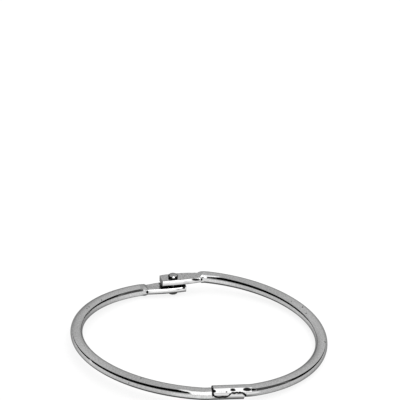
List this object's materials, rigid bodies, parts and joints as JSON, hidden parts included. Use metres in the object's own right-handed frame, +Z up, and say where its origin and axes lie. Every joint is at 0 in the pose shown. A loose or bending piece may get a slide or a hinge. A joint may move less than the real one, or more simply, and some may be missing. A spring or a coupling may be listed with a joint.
{
  "type": "binder ring",
  "caption": "Hinged snap ring of round steel wire that holds punched sheets: the halves turn on a rivet and hook together opposite it.",
  "frame": {"origin": "on the surface that the closed ring lies on, under the middle of its length and width", "axes": "+X across the ring to the right half, +Y from the clasp to the rivet, +Z up along the rivet, from its formed tail to its head"},
  "size_m": [0.0842, 0.083, 0.0074],
  "materials": {
    "ring_wire": "bright nickel plating on steel wire, fine draw lines and pits, pressed faces slightly mottled",
    "rivet_steel": "bright nickel plating on a steel rivet, small tool marks on the formed tail"
  },
  "bodies": {
    "left_half": {"left_half": "ring_wire"},
    "rivet": {"rivet": "rivet_steel"},
    "right_half": {"right_half": "ring_wire"}
  },
  "joints": [
    {"name": "swing", "type": "hinge", "parent": "left_half", "child": "rivet", "pos_m": [0, 0.03851, 0.00369], "axis": [0, 0, 1], "range_deg": [0, 158]},
    {"name": "unlatch", "type": "hinge", "parent": "rivet", "child": "right_half", "pos_m": [0, 0.03851, 0.00511], "axis": [-1, 0, 0], "range_deg": [0, 1.5], "stiffness_Nm_per_rad": 12}
  ]
}
